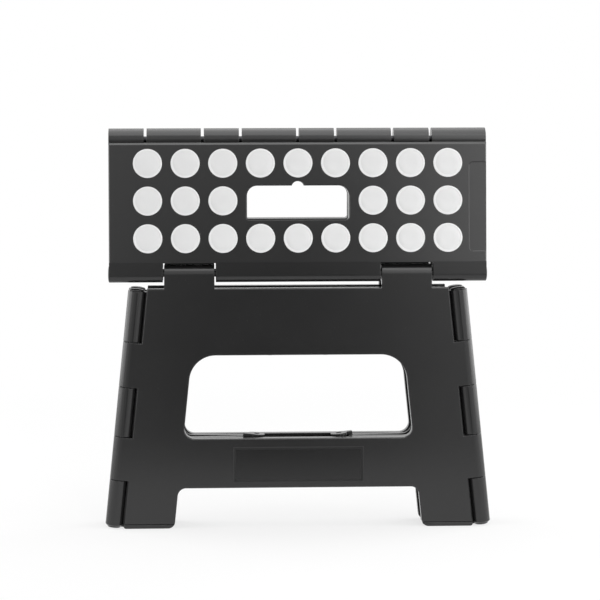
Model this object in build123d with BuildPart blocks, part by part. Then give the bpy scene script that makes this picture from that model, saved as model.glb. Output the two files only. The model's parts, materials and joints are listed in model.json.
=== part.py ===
from build123d import *
from math import acos, asin, cos, degrees, radians, sin, tan
import os

# Folding step stool, folded flat and standing on its feet.
# Frame: +Z up, front towards -Y, origin on the floor under the middle of the folded stool.
# Two panels, two top leaves and four side leaves turn on hinge pins. "row" is -1 for the front half
# and 1 for the rear half, "side" is -1 for the left and 1 for the right. The rear panel is the front
# one turned about Z, and so are the rear top leaf's outline and two of the side leaves.

# Hinge lines. Top leaves and side leaves have the same pitch and the same offset when folded,
# so every angle of the linkage is one fold angle or twice that angle.
leaf_pitch = 112.0
fold_offset = 10.0
top_hinge_height = 213.4
corner_line_at_floor = 154.9
side_slant = 5.95
hinge_radius = 7.5
pin_radius = 2.5

# Clearances, on the radius for pins and along the line for knuckles.
held_fit = 0.02
running_fit = 0.08
knuckle_gap = 0.8
leaf_clearance = 1.0
pad_fit = 0.1

# Front and rear panels.
panel_top_drop = 11.8
panel_skin = 3.0
panel_depth = 8.0
rib_width = 2.2
corner_notch = 8.2
knuckle_root = 4.0
post_width = 50.8
window_top = 145.6
window_bottom = 75.6
window_top_radius = 22.0
window_bottom_radius = 8.5
arch_top = 33.8
arch_radius = 7.0
top_knuckle_inset = 69.7
top_knuckle_width = 41.8
recess_width = 107.0
recess_height = 27.8
recess_middle = 53.3
recess_depth = 0.8
bar_rib_pitch = 25.0
bar_ribs = 2
edge_chamfer = 0.7

# Corner hinges: where the knuckles change over, along the slanted line from the floor.
corner_line_start = 1.2
corner_changes = (41.1, 77.8, 119.6, 157.6)
pin_head_radius = 5.0
pin_head_height = 2.6
pin_head_chamfer = 1.4
pin_head_gap = 0.2
pin_end_inset = 1.5
barrel_end_chamfer = 1.6

# Side leaves.
side_plate = 5.0
side_skin = 2.2
side_rim = 3.0
side_face_gap = 0.5
side_notch = 9.8
side_setback = 1.5
side_top_drop = 1.9
mid_radius = 7.0
mid_clearance = 1.6
mid_ledge_rise = 2.0

# Foot strips.
pad_height = 3.3
foot_thickness = 4.0
foot_block = 6.0
foot_corner_radius = 6.0
tongue_height = 3.6
tongue_width = 1.5
tongue_inset = 5.0
side_foot_lift = 0.3

# Top leaves.
leaf_length = 314.2
leaf_skin = 3.0
leaf_depth = 11.0
leaf_wall = 2.6
face_over_edge_hinge = 8.5
face_over_centre_hinge = 11.6
rail_radius = 7.0
rail_back_turn = 120.0
nose_radius = 6.4
rail_face = 9.5
rail_notch_top = 9.0
rail_side_gap = 1.2
centre_radius = 9.4
centre_pin_radius = 2.75
centre_clearance = 0.6
centre_gap = 2.5
centre_pairs = 4
narrow_knuckle = 29.1
lip_gap = 3.0
centre_rib_inset = 14.0
edge_pin_reach = 60.0
edge_pin_head_radius = 6.6
edge_pin_head = 1.1
edge_pin_head_chamfer = 0.7
leaf_edge_chamfer = 0.9
lip_chamfer = 1.8

# Handle slot and grip dots, measured up the leaf from the edge hinge.
slot_length = 84.8
slot_bottom = 45.1
slot_top = 73.1
slot_top_radius = 8.5
slot_bottom_radius = 2.0
hang_notch_width = 11.0
hang_notch_height = 3.7
dot_radius = 12.05
dot_pitch = 31.2
dot_middle_row = 60.6
dot_columns = 9
dot_sides = 24
dot_height = 0.7
plain_field_width = 14.8
plain_field_bottom = 17.8
plain_field_top = 92.6
plain_field_radius = 3.5
plain_field_depth = 0.5
plain_field_draft = 50.0
leaf_rib_pitch = 35.0
leaf_ribs = 4
leaf_rib_inset = 8.0

# Angles and places worked out from the sizes above.
slant = radians(side_slant)
fold_lean = asin(fold_offset / leaf_pitch)
over_centre_drop = face_over_centre_hinge - face_over_edge_hinge
over_centre = asin(over_centre_drop / leaf_pitch)
face_lean = fold_lean - over_centre
panel_face = fold_offset + hinge_radius
panel_top = top_hinge_height - panel_top_drop
side_axis_depth = over_centre_drop - side_face_gap
mid_line = leaf_pitch * cos(over_centre)
centre_line = leaf_pitch * cos(over_centre)
leaf_lip = centre_line - lip_gap


def half_width(height, inset):
    """Half the panel's width at a height, taken in from the corner hinge line."""
    return corner_line_at_floor - height * tan(slant) - inset


def along(height, inwards):
    """Place along the corner line of a side-leaf point with this height when folded."""
    return (height + inwards * cos(face_lean) * sin(slant)) / cos(slant)


side_post = (post_width - side_setback) * cos(slant) / cos(face_lean)
side_end = mid_line - mid_radius - mid_clearance
side_top = along(panel_top - side_top_drop, 0)
side_window_top = along(window_top - side_setback, mid_line)
side_sole = pad_height + side_foot_lift


def spans(edges, gap):
    """Neighbouring knuckles between the edges, each shorter by half a gap at either end."""
    return [(low + gap / 2, high - gap / 2) for low, high in zip(edges, edges[1:])]


corner_spans = spans((corner_line_start, *corner_changes, side_top), knuckle_gap)
side_corner_spans = corner_spans[0::2]
panel_corner_spans = corner_spans[1::2]


def thirds(low, high):
    """Three equal knuckles of a mid hinge."""
    step = (high - low) / 3
    return spans((low, low + step, high - step, high), knuckle_gap)


crossbar_hinge = (along(arch_top, mid_line), along(window_bottom, mid_line) + mid_ledge_rise)
top_bar_hinge = (side_window_top, side_top)
mid_spans = thirds(*crossbar_hinge) + thirds(*top_bar_hinge)
outer_mid_spans = [mid_spans[i] for i in (0, 2, 3, 5)]
inner_mid_spans = [mid_spans[i] for i in (1, 4)]


def centre_knuckles(row):
    """Centre-hinge knuckles of one top leaf and of the other, across the leaf as its own side sees it."""
    gaps = 2 * centre_pairs - 1
    wide_knuckle = (leaf_length - gaps * centre_gap) / centre_pairs - narrow_knuckle
    start = -leaf_length / 2
    found = {-1: [], 1: []}
    for _ in range(centre_pairs):
        found[1].append((start, start + narrow_knuckle))
        start += narrow_knuckle + centre_gap
        found[-1].append((start, start + wide_knuckle))
        start += wide_knuckle + centre_gap
    if row == 1:
        found = {key: [(-high, -low) for low, high in found[key]] for key in found}
    return found[row], found[-row]


# Planes of the folded stool.


def panel_plane(row):
    """Outer face of a panel: x to the right and y up, as someone facing it sees it."""
    return Plane(origin=(0, row * panel_face, 0), x_dir=(-row, 0, 0), z_dir=(0, row, 0))


def top_hinge_plane(row, across):
    """Section across a panel's top hinge line: x towards the mid plane, y up."""
    origin = (-row * across, row * fold_offset, top_hinge_height)
    return Plane(origin=origin, x_dir=(0, -row, 0), z_dir=(-row, 0, 0))


def corner_plane(side, row, place):
    """Section across a corner hinge line: x inwards along the panel, origin on the line."""
    rise = Vector(-side * sin(slant), 0, cos(slant))
    origin = Vector(side * corner_line_at_floor, row * fold_offset, 0) + rise * place
    return Plane(origin=origin, x_dir=(-side * cos(slant), 0, -sin(slant)), z_dir=rise)


def side_leaf_plane(side, row):
    """Side leaf: x from its corner line to its mid line, y up along the corner line."""
    origin = (side * corner_line_at_floor, row * fold_offset, 0)
    inwards = Vector(-side * cos(slant) * cos(face_lean), -row * sin(face_lean), -sin(slant) * cos(face_lean))
    rise = Vector(-side * sin(slant), 0, cos(slant))
    return Plane(origin=origin, x_dir=inwards, z_dir=inwards.cross(rise))


def mid_plane(side, row, place):
    """Section across a side leaf's mid hinge line, origin on the line."""
    leaf = side_leaf_plane(side, row)
    origin = leaf.from_local_coords((mid_line, place, -side * row * over_centre_drop))
    return Plane(origin=origin, x_dir=leaf.x_dir, z_dir=leaf.y_dir)


def top_leaf_plane(row):
    """Top leaf through its edge hinge line: x across, y up the leaf, z out of its tread face."""
    origin = (0, row * fold_offset, top_hinge_height)
    return Plane(origin=origin, x_dir=(-row, 0, 0), z_dir=(0, row * cos(face_lean), sin(face_lean)))


def leaf_section(row, across):
    """Section across a top leaf: x up the leaf, y out of its tread face."""
    leaf = top_leaf_plane(row)
    return Plane(origin=leaf.from_local_coords((across, 0, 0)), x_dir=leaf.y_dir, z_dir=leaf.x_dir)


# Outlines of the panels, in the panel plane.


def panel_blank(shrink=0.0):
    """Panel outline between the corner hinges, drawn in on all sides by shrink."""
    low = pad_height + shrink
    high = panel_top - shrink
    inset = corner_notch + shrink
    with BuildSketch(mode=Mode.PRIVATE) as outline:
        Polygon(
            (-half_width(low, inset), low),
            (half_width(low, inset), low),
            (half_width(high, inset), high),
            (-half_width(high, inset), high),
            align=None,
        )
    return outline.sketch


def window_outline(grow=0.0):
    """Window with slanted sides, wide corners above and tight ones below, let out by grow."""
    low = window_bottom - grow
    high = window_top + grow
    inset = post_width - grow
    with BuildSketch(mode=Mode.PRIVATE) as outline:
        Polygon(
            (-half_width(low, inset), low),
            (half_width(low, inset), low),
            (half_width(high, inset), high),
            (-half_width(high, inset), high),
            align=None,
        )
        fillet(outline.vertices().group_by(Axis.Y)[-1], window_top_radius + grow)
        fillet(outline.vertices().group_by(Axis.Y)[0], window_bottom_radius + grow)
    return outline.sketch


def arch_outline(grow=0.0):
    """Foot arch, open below, let out by grow."""
    high = arch_top + grow
    inset = post_width - grow
    with BuildSketch(mode=Mode.PRIVATE) as outline:
        Polygon(
            (-half_width(0, inset), 0),
            (half_width(0, inset), 0),
            (half_width(high, inset), high),
            (-half_width(high, inset), high),
            align=None,
        )
        fillet(outline.vertices().group_by(Axis.Y)[-1], arch_radius + grow)
    return outline.sketch


def foot_outline(side, low, high):
    """One panel foot between two heights, from the arch to the corner hinge's notch."""
    with BuildSketch(mode=Mode.PRIVATE) as outline:
        Polygon(
            (side * half_width(low, post_width), low),
            (side * half_width(low, corner_notch), low),
            (side * half_width(high, corner_notch), high),
            (side * half_width(high, post_width), high),
            align=None,
        )
    return outline.sketch


def rounded_foot(side):
    """One panel foot from the floor up, with its lower corner beside the arch rounded."""
    inner_corner = (side * half_width(0, post_width), 0, 0)
    with BuildSketch(mode=Mode.PRIVATE) as outline:
        add(foot_outline(side, 0, 2 * foot_corner_radius))
        fillet(outline.vertices().sort_by_distance(inner_corner)[0], foot_corner_radius)
    return outline.sketch


def foot_corner(side):
    """What the rounding takes off a panel foot."""
    with BuildSketch(mode=Mode.PRIVATE) as outline:
        add(foot_outline(side, 0, 2 * foot_corner_radius))
        add(rounded_foot(side), mode=Mode.SUBTRACT)
    return outline.sketch


def foot_strip(side):
    """Outline of a panel's foot strip, with the foot's rounded corner."""
    with BuildSketch(mode=Mode.PRIVATE) as outline:
        add(foot_outline(side, 0, pad_height))
        add(foot_corner(side), mode=Mode.SUBTRACT)
    return outline.sketch


def foot_tongue(side, row, growth=0.0):
    """Tongue of a panel's foot strip seen from above, or its slot with growth all round."""
    inner = half_width(pad_height, post_width) + tongue_inset - growth
    outer = half_width(pad_height + tongue_height, corner_notch) - tongue_inset + growth
    with BuildSketch(mode=Mode.PRIVATE) as outline:
        with Locations((side * (inner + outer) / 2, row * (panel_face - foot_thickness / 2))):
            Rectangle(outer - inner, tongue_width + 2 * growth)
    return outline.sketch


def corner_knuckle_outline(outwards):
    """Panel knuckle at a corner: a barrel whose root is flush with the panel's outer face."""
    inner_face = hinge_radius - knuckle_root
    root_start = degrees(acos(inner_face / hinge_radius))
    reach = corner_notch + panel_skin
    with BuildSketch(mode=Mode.PRIVATE) as outline:
        with BuildLine():
            CenterArc((0, 0), hinge_radius, 90, 360 - root_start)
            Polyline(
                (hinge_radius * sin(radians(root_start)), inner_face),
                (reach, inner_face),
                (reach, hinge_radius),
                (0, hinge_radius),
            )
        make_face()
        if outwards < 0:
            mirror(about=Plane.XZ, mode=Mode.REPLACE)
    return outline.sketch


def top_knuckle_outline():
    """Panel knuckle of a top hinge: a barrel on a root as deep as the panel."""
    inner_face = panel_depth - hinge_radius
    root_end = degrees(acos(inner_face / hinge_radius))
    foot = panel_top_drop + rib_width
    with BuildSketch(mode=Mode.PRIVATE) as outline:
        with BuildLine():
            CenterArc((0, 0), hinge_radius, -root_end, 180 + root_end)
            Polyline(
                (-hinge_radius, 0),
                (-hinge_radius, -foot),
                (inner_face, -foot),
                (inner_face, -hinge_radius * sin(radians(root_end))),
            )
        make_face()
    return outline.sketch


# Outlines of the side leaves, in the side-leaf plane.


def side_leaf_outline():
    """Post, crossbar and top bar of a side leaf round its half of the window.

    Sole, arch and ledge are level when folded, and the upper edges are square to the corner line."""
    corners = [
        (side_notch, along(side_sole, side_notch)),
        (side_post, along(side_sole, side_post)),
        (side_post, along(arch_top, side_post)),
        (side_end, along(arch_top, side_end)),
        (side_end, along(window_bottom, side_end)),
        (side_post, along(window_bottom, side_post)),
        (side_post, side_window_top),
        (side_end, side_window_top),
        (side_end, side_top),
        (side_notch, side_top),
    ]
    rounded = {2: arch_radius, 5: window_bottom_radius, 6: window_top_radius}
    with BuildSketch(mode=Mode.PRIVATE) as outline:
        Polygon(*corners, align=None)
        for index, radius in rounded.items():
            fillet(outline.vertices().sort_by_distance((*corners[index], 0))[0], radius)
    return outline.sketch


def side_pad_outline(low, high, inset):
    """Strip of a side leaf's foot between two heights, drawn in at both ends."""
    inner = side_notch + side_rim + pad_fit + inset
    outer = side_post - inset
    with BuildSketch(mode=Mode.PRIVATE) as outline:
        Polygon(
            (inner, along(low, inner)),
            (outer, along(low, outer)),
            (outer, along(high, outer)),
            (inner, along(high, inner)),
            align=None,
        )
    return outline.sketch


# Outlines of the top leaves, in the leaf plane or its section.


def slot_outline(grow=0.0):
    """Handle slot with a hang notch in the middle of its upper edge, let out by grow."""
    half = slot_length / 2 + grow
    with BuildSketch(mode=Mode.PRIVATE) as outline:
        Polygon(
            (-half, slot_bottom - grow),
            (half, slot_bottom - grow),
            (half, slot_top + grow),
            (-half, slot_top + grow),
            align=None,
        )
        fillet(outline.vertices().group_by(Axis.Y)[-1], slot_top_radius + grow)
        fillet(outline.vertices().group_by(Axis.Y)[0], slot_bottom_radius + grow)
        notch_radius = hang_notch_width / 2 + grow
        with Locations((0, slot_top + hang_notch_height - hang_notch_width / 2)):
            Circle(notch_radius)
    return outline.sketch


def rail_outline():
    """Edge rail: upright face, round nose below it and a round back about the hinge pin."""
    nose_place = nose_radius - rail_radius
    nose_face = face_over_edge_hinge - (rail_face - nose_place) * tan(face_lean)
    nose_centre = nose_face - nose_radius
    back_end = radians(180 + rail_back_turn)
    with BuildSketch(mode=Mode.PRIVATE) as outline:
        with BuildLine():
            Line((rail_face, face_over_edge_hinge), (nose_place, nose_face))
            CenterArc((nose_place, nose_centre), nose_radius, 90, 90)
            Line((-rail_radius, nose_centre), (-rail_radius, 0))
            CenterArc((0, 0), rail_radius, 180, rail_back_turn)
            Polyline(
                (rail_radius * cos(back_end), rail_radius * sin(back_end)),
                (rail_face, face_over_edge_hinge - leaf_depth),
                (rail_face, face_over_edge_hinge),
            )
        make_face()
    return outline.sketch


def centre_knuckle_outline():
    """Centre-hinge barrel with its root under the leaf's lip."""
    low = face_over_edge_hinge - leaf_depth
    high = face_over_edge_hinge - leaf_skin / 2
    start = centre_line - centre_rib_inset
    with BuildSketch(mode=Mode.PRIVATE) as outline:
        with Locations((centre_line, -over_centre_drop)):
            Circle(centre_radius)
        Polygon(
            (start, low),
            (centre_line, low),
            (centre_line, 0),
            (leaf_lip - leaf_skin / 2, high),
            (start, high),
            align=None,
        )
    return outline.sketch


def dot_places():
    """Grip dots in three rows, with the handle slot left free in the middle one."""
    reach = dot_columns // 2
    slot_reach = (slot_length / 2 + dot_radius) / dot_pitch
    places = []
    for line in (-1, 0, 1):
        for column in range(-reach, reach + 1):
            if line or abs(column) > slot_reach:
                places.append((column * dot_pitch, dot_middle_row + line * dot_pitch))
    return places


# Mouldings.


def make_panel(row):
    """Front or rear panel: ribbed skin with window and arch, corner knuckles and top knuckles."""
    face = panel_plane(row)
    with BuildPart() as panel:
        with BuildSketch(face):
            add(panel_blank())
            add(window_outline(), mode=Mode.SUBTRACT)
            add(arch_outline(), mode=Mode.SUBTRACT)
            for side in (-1, 1):
                add(foot_corner(side), mode=Mode.SUBTRACT)
        extrude(amount=-panel_skin)
        outer_face = panel.faces().sort_by(Axis((0, 0, 0), face.z_dir))[-1]
        chamfer(outer_face.edges(), edge_chamfer)

        # Flanges round the edge, the window and the arch, with upright ribs across both bars.
        with BuildSketch(face.offset(-panel_skin / 2)):
            add(panel_blank())
            add(panel_blank(rib_width), mode=Mode.SUBTRACT)
            add(window_outline(rib_width))
            add(arch_outline(rib_width))
            for step in range(-bar_ribs, bar_ribs + 1):
                with Locations((step * bar_rib_pitch, (arch_top + window_bottom) / 2)):
                    Rectangle(rib_width, window_bottom - arch_top)
                with Locations((step * bar_rib_pitch, (window_top + panel_top) / 2)):
                    Rectangle(rib_width, panel_top - window_top)
            add(window_outline(), mode=Mode.SUBTRACT)
            add(arch_outline(), mode=Mode.SUBTRACT)
            add(panel_blank(), mode=Mode.INTERSECT)
            for side in (-1, 1):
                add(foot_corner(side), mode=Mode.SUBTRACT)
        extrude(amount=panel_skin / 2 - panel_depth)

        # Room for the side leaves that lie behind the posts when folded.
        for side in (-1, 1):
            inner = side * row
            leaf_back = inner * (side_plate - side_axis_depth + leaf_clearance)
            with BuildSketch(side_leaf_plane(side, row).offset(leaf_back)):
                with Locations((mid_line / 2, side_top / 2)):
                    Rectangle(2 * mid_line, 2 * side_top)
            extrude(amount=-inner * panel_face, mode=Mode.SUBTRACT)

        # Feet, slotted for the foot strips.
        with BuildSketch(face.offset(-panel_skin / 2)):
            for side in (-1, 1):
                add(foot_outline(side, pad_height, pad_height + foot_block))
                add(foot_corner(side), mode=Mode.SUBTRACT)
        extrude(amount=panel_skin / 2 - foot_thickness)
        with BuildSketch(Plane.XY.offset(pad_height)):
            for side in (-1, 1):
                add(foot_tongue(side, row, pad_fit))
        extrude(amount=tongue_height + pad_fit, mode=Mode.SUBTRACT)

        # Knuckles and their bores.
        for side in (-1, 1):
            for low, high in panel_corner_spans:
                with BuildSketch(corner_plane(side, row, low)):
                    add(corner_knuckle_outline(-side * row))
                extrude(amount=high - low)
            with BuildSketch(corner_plane(side, row, 0)):
                Circle(pin_radius + held_fit)
            extrude(amount=side_top, mode=Mode.SUBTRACT)
        for start in (top_knuckle_inset, -top_knuckle_inset - top_knuckle_width):
            with BuildSketch(top_hinge_plane(row, start)):
                add(top_knuckle_outline())
            extrude(amount=top_knuckle_width)
        with BuildSketch(top_hinge_plane(row, -leaf_length / 2)):
            Circle(pin_radius + running_fit)
        extrude(amount=leaf_length, mode=Mode.SUBTRACT)

        # Shallow bare field on the crossbar.
        with BuildSketch(face):
            with Locations((0, recess_middle)):
                Rectangle(recess_width, recess_height)
        extrude(amount=-recess_depth, mode=Mode.SUBTRACT)
    return panel.part


def make_side_leaf(side, row):
    """Half of a folding side: plate round the window, corner knuckles and mid knuckles."""
    plane = side_leaf_plane(side, row)
    inner = side * row
    own_mid_spans = outer_mid_spans if inner > 0 else inner_mid_spans
    mid_fit = held_fit if inner > 0 else running_fit
    with BuildPart() as leaf:
        with BuildSketch(plane.offset(-inner * side_axis_depth)):
            add(side_leaf_outline())
            for low, high in side_corner_spans:
                with Locations((0, (low + high) / 2)):
                    Rectangle(side_notch + side_rim, high - low, align=(Align.MIN, Align.CENTER))
            for low, high in own_mid_spans:
                with Locations((mid_line, (low + high) / 2)):
                    Rectangle(mid_line - side_end + side_rim, high - low, align=(Align.MAX, Align.CENTER))
        extrude(amount=inner * side_plate)

        # Pockets in the inner face leave a rim, a rib at each change of knuckles and a solid foot.
        with BuildSketch(plane.offset(inner * (side_plate - side_axis_depth))):
            add(side_leaf_outline())
            offset(amount=-side_rim, kind=Kind.INTERSECTION, mode=Mode.REPLACE)
            for place in corner_changes:
                with Locations((side_post / 2, place)):
                    Rectangle(side_post, rib_width, mode=Mode.SUBTRACT)
            add(side_pad_outline(side_sole, side_sole + foot_block, 0), mode=Mode.SUBTRACT)
        extrude(amount=-inner * (side_plate - side_skin), mode=Mode.SUBTRACT)

        # Slot for the foot strip's tongue.
        with BuildSketch(plane.offset(inner * (side_plate / 2 - side_axis_depth))):
            add(side_pad_outline(side_sole, side_sole + tongue_height + pad_fit, tongue_inset - pad_fit))
        extrude(amount=tongue_width / 2 + pad_fit, both=True, mode=Mode.SUBTRACT)

        # Barrels and their bores.
        for low, high in side_corner_spans:
            end_chamfer = barrel_end_chamfer if low == side_corner_spans[0][0] else 0
            with BuildSketch(corner_plane(side, row, low + end_chamfer)):
                Circle(hinge_radius)
            extrude(amount=high - low - end_chamfer)
        with BuildSketch(corner_plane(side, row, side_corner_spans[0][0] + barrel_end_chamfer)):
            Circle(hinge_radius)
        extrude(amount=-barrel_end_chamfer, taper=45)
        for low, high in own_mid_spans:
            with BuildSketch(mid_plane(side, row, low)):
                Circle(mid_radius)
            extrude(amount=high - low)
        with BuildSketch(corner_plane(side, row, 0)):
            Circle(pin_radius + running_fit)
        extrude(amount=side_top, mode=Mode.SUBTRACT)
        with BuildSketch(mid_plane(side, row, crossbar_hinge[0])):
            Circle(pin_radius + mid_fit)
        extrude(amount=side_top - crossbar_hinge[0], mode=Mode.SUBTRACT)
    return leaf.part


def make_top_leaf(row):
    """Half of the tread: ribbed skin with the handle slot, edge rail and centre knuckles."""
    plane = top_leaf_plane(row)
    tread = plane.offset(face_over_edge_hinge)
    own, other = centre_knuckles(row)
    centre_fit = held_fit if row < 0 else running_fit
    with BuildPart() as leaf:
        with BuildSketch(tread):
            with Locations((0, (rail_face + leaf_lip) / 2)):
                Rectangle(leaf_length, leaf_lip - rail_face)
            add(slot_outline(), mode=Mode.SUBTRACT)
        extrude(amount=-leaf_skin)
        outer_face = leaf.faces().sort_by(Axis(plane.origin, plane.z_dir))[-1]
        chamfer(outer_face.edges().sort_by(Axis(plane.origin, plane.y_dir))[-1], lip_chamfer)
        outer_face = leaf.faces().sort_by(Axis(plane.origin, plane.z_dir))[-1]
        free_edges = outer_face.edges().sort_by(Axis(plane.origin, plane.y_dir))[1:-1]
        chamfer(free_edges, leaf_edge_chamfer)

        # End walls, the slot's wall and ribs along and across the leaf.
        with BuildSketch(tread.offset(-leaf_skin / 2)):
            for end in (-1, 1):
                with Locations((end * (leaf_length - leaf_wall) / 2, leaf_lip / 2)):
                    Rectangle(leaf_wall, leaf_lip)
            for place in (slot_bottom - leaf_rib_inset, slot_top + leaf_rib_inset):
                with Locations((0, place)):
                    Rectangle(leaf_length - leaf_wall, rib_width)
            with Locations((0, centre_line - centre_rib_inset)):
                Rectangle(leaf_length - leaf_wall, leaf_wall, align=(Align.CENTER, Align.MIN))
            for step in range(-leaf_ribs, leaf_ribs + 1):
                with Locations((step * leaf_rib_pitch, (centre_line - centre_rib_inset) / 2)):
                    Rectangle(rib_width, centre_line - centre_rib_inset)
            add(slot_outline(leaf_wall))
            add(slot_outline(), mode=Mode.SUBTRACT)
        extrude(amount=leaf_skin / 2 - leaf_depth)

        with BuildSketch(leaf_section(row, -leaf_length / 2)):
            add(rail_outline())
        extrude(amount=leaf_length)

        # Own centre knuckles, and room for those of the other leaf under the lip.
        for low, high in own:
            with BuildSketch(leaf_section(row, low)):
                add(centre_knuckle_outline())
            extrude(amount=high - low)
        for low, high in other:
            with BuildSketch(leaf_section(row, low - centre_gap)):
                with Locations((centre_line, -over_centre_drop)):
                    Circle(centre_radius + centre_clearance)
            extrude(amount=high - low + 2 * centre_gap, mode=Mode.SUBTRACT)

        # Notches for the panel's knuckles, and the bores.
        with BuildSketch(plane):
            for end in (-1, 1):
                with Locations((end * (top_knuckle_inset + top_knuckle_width / 2), rail_notch_top)):
                    Rectangle(
                        top_knuckle_width + 2 * rail_side_gap,
                        rail_notch_top + 2 * rail_radius,
                        align=(Align.CENTER, Align.MAX),
                    )
        extrude(amount=2 * leaf_depth, both=True, mode=Mode.SUBTRACT)
        for start in (edge_pin_reach, -leaf_length / 2):
            with BuildSketch(leaf_section(row, start)):
                Circle(pin_radius + held_fit)
            extrude(amount=leaf_length / 2 - edge_pin_reach, mode=Mode.SUBTRACT)
        with BuildSketch(leaf_section(row, -leaf_length / 2)):
            with Locations((centre_line, -over_centre_drop)):
                Circle(centre_pin_radius + centre_fit)
        extrude(amount=leaf_length, mode=Mode.SUBTRACT)

        # Shallow bare field beside the dots, on the front leaf only.
        if row < 0:
            with BuildSketch(tread):
                with Locations((leaf_length / 2, (plain_field_bottom + plain_field_top) / 2)):
                    RectangleRounded(
                        2 * plain_field_width,
                        plain_field_top - plain_field_bottom,
                        plain_field_radius,
                    )
            extrude(amount=-plain_field_depth, taper=plain_field_draft, mode=Mode.SUBTRACT)
    return leaf.part


# Pieces set into the mouldings.


def make_dots(row):
    """Round grip pads on a tread face, with few sides because there are many."""
    with BuildPart() as dots:
        with BuildSketch(top_leaf_plane(row).offset(face_over_edge_hinge)):
            with Locations(*dot_places()):
                RegularPolygon(dot_radius, dot_sides)
        extrude(amount=dot_height)
    return dots.part


def make_corner_pin(side, row):
    """Corner hinge pin with a chamfered head above the top knuckle."""
    low = corner_line_start + pin_end_inset
    high = side_top - knuckle_gap / 2 + pin_head_gap
    with BuildPart() as pin:
        with BuildSketch(corner_plane(side, row, low)):
            Circle(pin_radius)
        extrude(amount=high - low)
        with BuildSketch(corner_plane(side, row, high)):
            Circle(pin_head_radius)
        extrude(amount=pin_head_height)
        chamfer(pin.faces().sort_by(Axis.Z)[-1].edges(), pin_head_chamfer)
    return pin.part


def make_mid_pins(side, row):
    """Mid hinge pins of one side, one in the crossbar and one in the top bar."""
    with BuildPart() as pins:
        for low, high in (crossbar_hinge, top_bar_hinge):
            with BuildSketch(mid_plane(side, row, low + pin_end_inset)):
                Circle(pin_radius)
            extrude(amount=high - low - 2 * pin_end_inset)
    return pins.part


def make_edge_pins(row):
    """Pins of a top hinge, pushed in from both ends of the leaf's rail."""
    with BuildPart() as pins:
        for end in (-1, 1):
            with BuildSketch(leaf_section(row, end * leaf_length / 2)):
                Circle(pin_radius)
            extrude(amount=-end * (leaf_length / 2 - edge_pin_reach - pin_end_inset))
            with BuildSketch(leaf_section(row, end * leaf_length / 2)):
                Circle(edge_pin_head_radius)
            extrude(amount=end * edge_pin_head)
        for outer_end in (pins.faces().sort_by(Axis.X)[0], pins.faces().sort_by(Axis.X)[-1]):
            chamfer(outer_end.edges(), edge_pin_head_chamfer)
    return pins.part


def make_centre_pin():
    """Rod through all knuckles of the centre hinge."""
    with BuildPart() as pin:
        with BuildSketch(leaf_section(-1, pin_end_inset - leaf_length / 2)):
            with Locations((centre_line, -over_centre_drop)):
                Circle(centre_pin_radius)
        extrude(amount=leaf_length - 2 * pin_end_inset)
    return pin.part


def make_panel_feet(row):
    """Foot strips of a panel, each with a tongue up into its foot."""
    with BuildPart() as feet:
        with BuildSketch(panel_plane(row)):
            for side in (-1, 1):
                add(foot_strip(side))
        extrude(amount=-foot_thickness)
        with BuildSketch(Plane.XY.offset(pad_height / 2)):
            for side in (-1, 1):
                add(foot_tongue(side, row))
        extrude(amount=pad_height / 2 + tongue_height)
    return feet.part


def make_side_foot(side, row):
    """Foot strip of a side leaf, with a tongue up into the leaf."""
    plane = side_leaf_plane(side, row)
    inner = side * row
    with BuildPart() as foot:
        with BuildSketch(plane.offset(-inner * side_axis_depth)):
            add(side_pad_outline(side_foot_lift, side_sole, 0))
        extrude(amount=inner * side_plate)
        with BuildSketch(plane.offset(inner * (side_plate / 2 - side_axis_depth))):
            add(side_pad_outline(side_sole / 2, side_sole + tongue_height, tongue_inset))
        extrude(amount=tongue_width / 2, both=True)
    return foot.part


pieces = {"centre_hinge_pin": make_centre_pin()}
for row, half in ((-1, "front"), (1, "rear")):
    pieces[f"{half}_panel"] = make_panel(row)
    pieces[f"{half}_panel_feet"] = make_panel_feet(row)
    pieces[f"top_{half}_leaf"] = make_top_leaf(row)
    pieces[f"top_{half}_grip_dots"] = make_dots(row)
    pieces[f"{half}_top_hinge_pins"] = make_edge_pins(row)
    for side, hand in ((-1, "left"), (1, "right")):
        pieces[f"{hand}_side_{half}_leaf"] = make_side_leaf(side, row)
        pieces[f"{hand}_side_{half}_foot"] = make_side_foot(side, row)
        pieces[f"{half}_{hand}_corner_pin"] = make_corner_pin(side, row)
        if side == row:
            pieces[f"{hand}_mid_hinge_pins"] = make_mid_pins(side, row)

os.makedirs("parts", exist_ok=True)
for name, piece in pieces.items():
    piece.label = name
    export_step(piece, f"parts/{name}.step")
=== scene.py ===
"""Looks of a folding step stool: plastic, grip pads, hinge pins, foot strips and a studio."""

import json
import math

import bpy
import numpy as np
from mathutils import Matrix, Vector


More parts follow.
